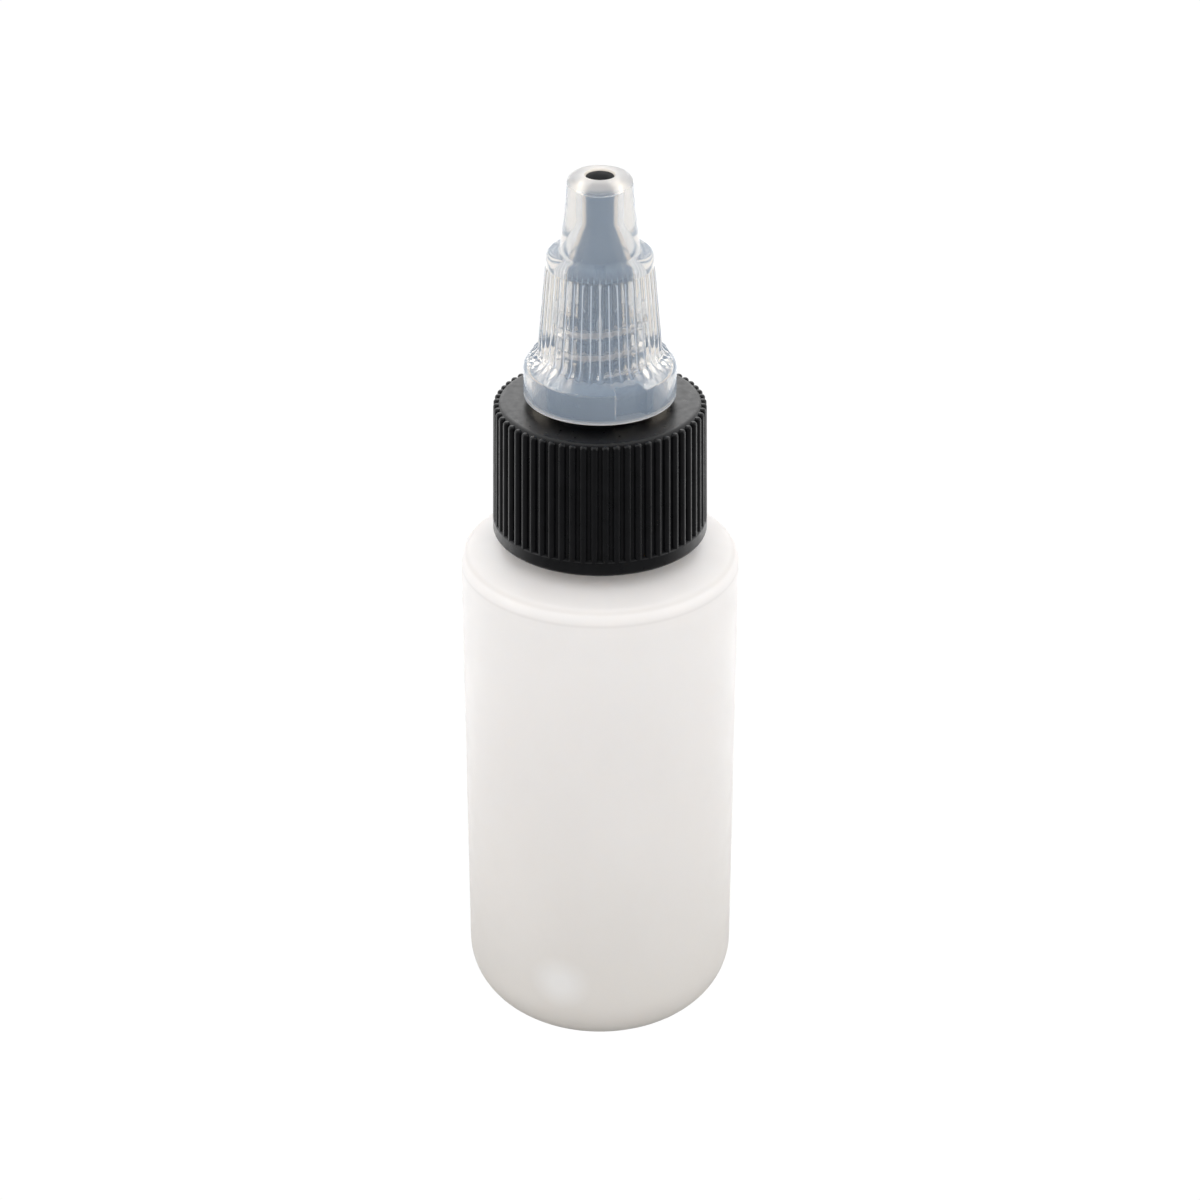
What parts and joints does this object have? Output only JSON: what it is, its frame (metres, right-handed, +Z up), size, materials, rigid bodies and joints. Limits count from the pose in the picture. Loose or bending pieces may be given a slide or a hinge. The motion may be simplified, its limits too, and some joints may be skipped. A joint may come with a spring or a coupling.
{
  "type": "twist-tip dropper bottle",
  "caption": "Squeeze dropper bottle: translucent round plastic bottle, ribbed black screw closure and a translucent tip that twists up its spout post to open.",
  "frame": {"origin": "centre of the bottle's base, on the surface it stands on", "axes": "+Z up the bottle's axis, -Y towards the front"},
  "size_m": [0.03, 0.03, 0.1],
  "materials": {
    "bottle_plastic": "natural translucent polyethylene, satin",
    "liner_foam": "white polyethylene foam",
    "closure_plastic": "black polypropylene, semi-gloss",
    "tip_plastic": "natural translucent low-density polyethylene, smooth"
  },
  "bodies": {
    "bottle": {"bottle": "bottle_plastic"},
    "closure_lift": {"neck_liner": "liner_foam"},
    "closure": {"closure_base": "closure_plastic"},
    "tip_lift": {"tip_nozzle": "tip_plastic"},
    "tip": {"tip_skirt": "tip_plastic"}
  },
  "joints": [
    {"name": "closure_raise", "type": "slide", "parent": "bottle", "child": "closure_lift", "axis": [0, 0, 1], "range_m": [0, 0.01429]},
    {"name": "closure_turn", "type": "hinge", "parent": "closure_lift", "child": "closure", "pos_m": [0, 0, 0.0732], "axis": [0, 0, 1], "range_deg": [0, 1620]},
    {"name": "tip_raise", "type": "slide", "parent": "closure", "child": "tip_lift", "axis": [0, 0, 1], "range_m": [0, 0.00198]},
    {"name": "tip_turn", "type": "hinge", "parent": "tip_lift", "child": "tip", "pos_m": [0, 0, 0.091], "axis": [0, 0, 1], "range_deg": [0, 285]}
  ],
  "couplings": [
    {"joint": "closure_turn", "follows": "closure_raise", "rad_per_m": 1979},
    {"joint": "tip_turn", "follows": "tip_raise", "rad_per_m": 2513.3}
  ]
}
